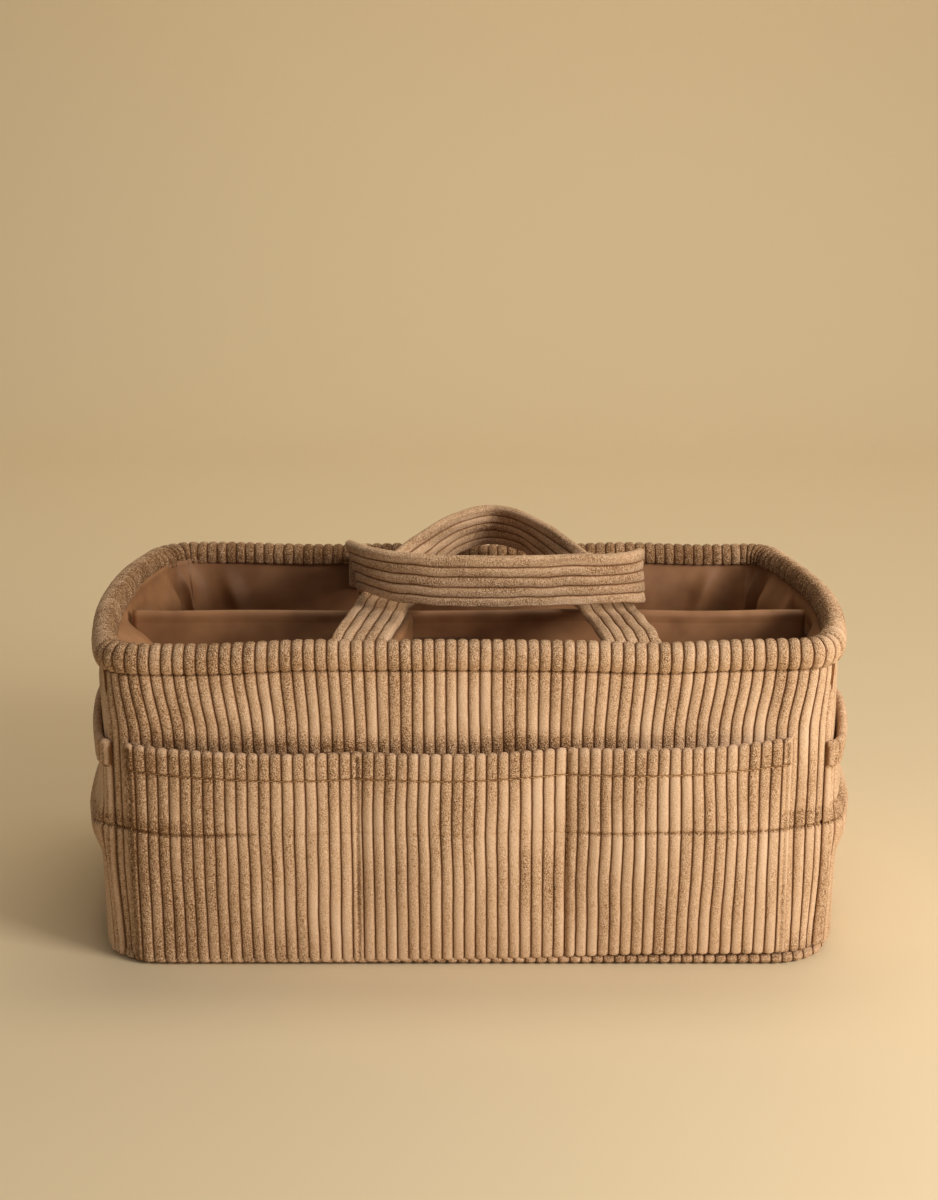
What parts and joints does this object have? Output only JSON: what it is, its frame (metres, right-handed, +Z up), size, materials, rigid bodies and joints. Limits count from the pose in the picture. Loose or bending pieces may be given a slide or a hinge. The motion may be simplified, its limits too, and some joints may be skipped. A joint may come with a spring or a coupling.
{
  "type": "diaper caddy",
  "caption": "Soft open-top diaper caddy in wide-wale corduroy with padded rim, strap handles, outer pockets and hook-and-loop dividers.",
  "frame": {"origin": "middle of the underside, on the surface that the caddy stands on", "axes": "+X to the right along the long side, +Y from the pocket front to the back, +Z up"},
  "size_m": [0.4294, 0.2549, 0.212],
  "materials": {
    "corduroy": "camel wide-wale cotton corduroy, brushed pile",
    "lining": "brown plain-weave polyester lining with a slight sheen",
    "board": "stiffener board",
    "padding": "polyester wadding",
    "tape": "brown hook-and-loop tape"
  },
  "bodies": {
    "caddy": {"outer_front_panel": "corduroy", "outer_back_panel": "corduroy", "outer_left_panel": "corduroy", "outer_right_panel": "corduroy", "bottom_panel": "corduroy", "front_pocket": "corduroy", "left_pocket": "corduroy", "right_pocket": "corduroy", "front_handle_left_tail": "corduroy", "front_handle_right_tail": "corduroy", "back_handle_left_tail": "corduroy", "back_handle_right_tail": "corduroy", "front_lining": "lining", "back_lining": "lining", "left_lining": "lining", "right_lining": "lining", "floor_lining": "lining", "front_board": "board", "back_board": "board", "left_board": "board", "right_board": "board", "base_board": "board", "rim_padding": "padding", "front_loop_tape": "tape", "left_loop_tape": "tape", "right_loop_tape": "tape"},
    "back_handle": {"back_handle": "corduroy"},
    "front_handle": {"front_handle": "corduroy"},
    "long_divider": {"long_divider_cover": "lining", "long_divider_core": "board", "long_divider_left_hook": "tape", "long_divider_right_hook": "tape", "long_divider_loop": "tape"},
    "cross_divider": {"cross_divider_cover": "lining", "cross_divider_core": "board", "cross_divider_front_hook": "tape", "cross_divider_back_hook": "tape"}
  },
  "joints": [
    {"name": "back_handle_swing", "type": "hinge", "parent": "caddy", "child": "back_handle", "pos_m": [0.014, 0.10835, 0.17875], "axis": [-1, 0, 0], "range_deg": [0, 165]},
    {"name": "front_handle_swing", "type": "hinge", "parent": "caddy", "child": "front_handle", "pos_m": [0.014, -0.10835, 0.17875], "axis": [1, 0, 0], "range_deg": [0, 82.5]},
    {"name": "long_divider_move", "type": "slide", "parent": "caddy", "child": "long_divider", "axis": [0, 1, 0], "range_m": [0, 0.03]},
    {"name": "cross_divider_move", "type": "slide", "parent": "long_divider", "child": "cross_divider", "axis": [1, 0, 0], "range_m": [-0.03, 0.03]}
  ],
  "couplings": [
    {"joint": "front_handle_swing", "follows": "back_handle_swing", "ratio": 0.5}
  ]
}
